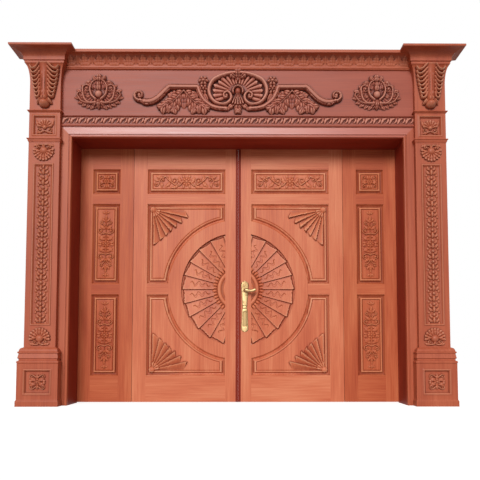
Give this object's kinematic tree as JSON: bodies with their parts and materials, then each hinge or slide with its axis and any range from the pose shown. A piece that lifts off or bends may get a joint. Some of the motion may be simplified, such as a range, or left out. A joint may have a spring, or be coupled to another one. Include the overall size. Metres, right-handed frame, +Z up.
{
  "type": "carved double-folding entrance door with frame",
  "caption": "Wide carved hardwood entrance door of folding leaves with a split sun panel, set in a deep frame with carved pilasters, frieze and cornice.",
  "frame": {"origin": "on the floor, midway between the jambs and midway between the crowns' front and the rear lever", "axes": "+X to the right seen from the front, +Y into the wall away from the viewer, +Z up"},
  "size_m": [3.61, 0.508, 2.855],
  "materials": {
    "frame_hardwood": "satin varnish",
    "leaf_hardwood": "satin varnish",
    "dark_hardwood": "satin varnish",
    "antique_brass": "aged",
    "lock_steel": "plain"
  },
  "bodies": {
    "frame": {"left_jamb": "dark_hardwood", "right_jamb": "dark_hardwood", "head_jamb": "dark_hardwood", "left_stop": "dark_hardwood", "right_stop": "dark_hardwood", "head_stop": "dark_hardwood", "left_casing": "frame_hardwood", "right_casing": "frame_hardwood", "head_casing": "frame_hardwood", "left_plinth": "frame_hardwood", "right_plinth": "frame_hardwood", "left_base_moulding": "frame_hardwood", "right_base_moulding": "frame_hardwood", "left_pilaster": "frame_hardwood", "right_pilaster": "frame_hardwood", "left_capital": "frame_hardwood", "right_capital": "frame_hardwood", "left_corner_block": "frame_hardwood", "right_corner_block": "frame_hardwood", "left_crown": "frame_hardwood", "right_crown": "frame_hardwood", "wave_band": "frame_hardwood", "frieze": "frame_hardwood", "cornice": "frame_hardwood", "jamb_hinge_flaps": "antique_brass"},
    "left_outer_leaf": {"left_outer_stiles": "leaf_hardwood", "left_outer_rails": "leaf_hardwood", "left_outer_panels": "leaf_hardwood", "left_outer_hinge_flaps": "antique_brass"},
    "right_outer_leaf": {"right_outer_stiles": "leaf_hardwood", "right_outer_rails": "leaf_hardwood", "right_outer_panels": "leaf_hardwood", "right_outer_hinge_flaps": "antique_brass"},
    "left_inner_leaf": {"left_inner_stiles": "leaf_hardwood", "left_inner_rails": "leaf_hardwood", "left_arch_rail": "leaf_hardwood", "left_sun_panel": "leaf_hardwood", "left_inner_panels": "leaf_hardwood", "left_meeting_bead": "dark_hardwood", "left_inner_hinge_flaps": "antique_brass", "strike_plate": "antique_brass"},
    "right_inner_leaf": {"right_inner_stiles": "leaf_hardwood", "right_inner_rails": "leaf_hardwood", "right_arch_rail": "leaf_hardwood", "right_sun_panel": "leaf_hardwood", "right_inner_panels": "leaf_hardwood", "right_meeting_bead": "dark_hardwood", "right_inner_hinge_flaps": "antique_brass", "handle_plate": "antique_brass", "rear_plate": "antique_brass", "lock_case": "lock_steel"},
    "lever": {"front_lever": "antique_brass", "rear_lever": "antique_brass"},
    "thumb_turn": {"thumb_turn": "antique_brass"},
    "latch_bolt": {"latch_bolt": "antique_brass"},
    "dead_bolt": {"dead_bolt": "antique_brass"}
  },
  "joints": [
    {"name": "left_outer_swing", "type": "hinge", "parent": "frame", "child": "left_outer_leaf", "pos_m": [-1.3625, 0.2033, 1.09], "axis": [0, 0, 1], "range_deg": [0, 90]},
    {"name": "right_outer_swing", "type": "hinge", "parent": "frame", "child": "right_outer_leaf", "pos_m": [1.3625, 0.2033, 1.09], "axis": [0, 0, -1], "range_deg": [0, 90]},
    {"name": "left_inner_fold", "type": "hinge", "parent": "left_outer_leaf", "child": "left_inner_leaf", "pos_m": [-0.8945, 0.2033, 1.09], "axis": [0, 0, 1], "range_deg": [0, 110]},
    {"name": "right_inner_fold", "type": "hinge", "parent": "right_outer_leaf", "child": "right_inner_leaf", "pos_m": [0.8945, 0.2033, 1.09], "axis": [0, 0, -1], "range_deg": [0, 110]},
    {"name": "lever_turn", "type": "hinge", "parent": "right_inner_leaf", "child": "lever", "pos_m": [0.056, 0.1735, 0.945], "axis": [0, 1, 0], "range_deg": [0, 45], "stiffness_Nm_per_rad": 1.5, "springref_deg": -22.92},
    {"name": "latch_slide", "type": "slide", "parent": "right_inner_leaf", "child": "latch_bolt", "axis": [1, 0, 0], "range_m": [0, 0.011]},
    {"name": "thumb_turn_turn", "type": "hinge", "parent": "right_inner_leaf", "child": "thumb_turn", "pos_m": [0.056, 0.1735, 0.778], "axis": [0, 1, 0], "range_deg": [0, 90]},
    {"name": "dead_bolt_slide", "type": "slide", "parent": "right_inner_leaf", "child": "dead_bolt", "axis": [-1, 0, 0], "range_m": [0, 0.014]}
  ],
  "couplings": [
    {"joint": "latch_slide", "follows": "lever_turn", "m_per_rad": 0.014004},
    {"joint": "dead_bolt_slide", "follows": "thumb_turn_turn", "m_per_rad": 0.0089118}
  ]
}
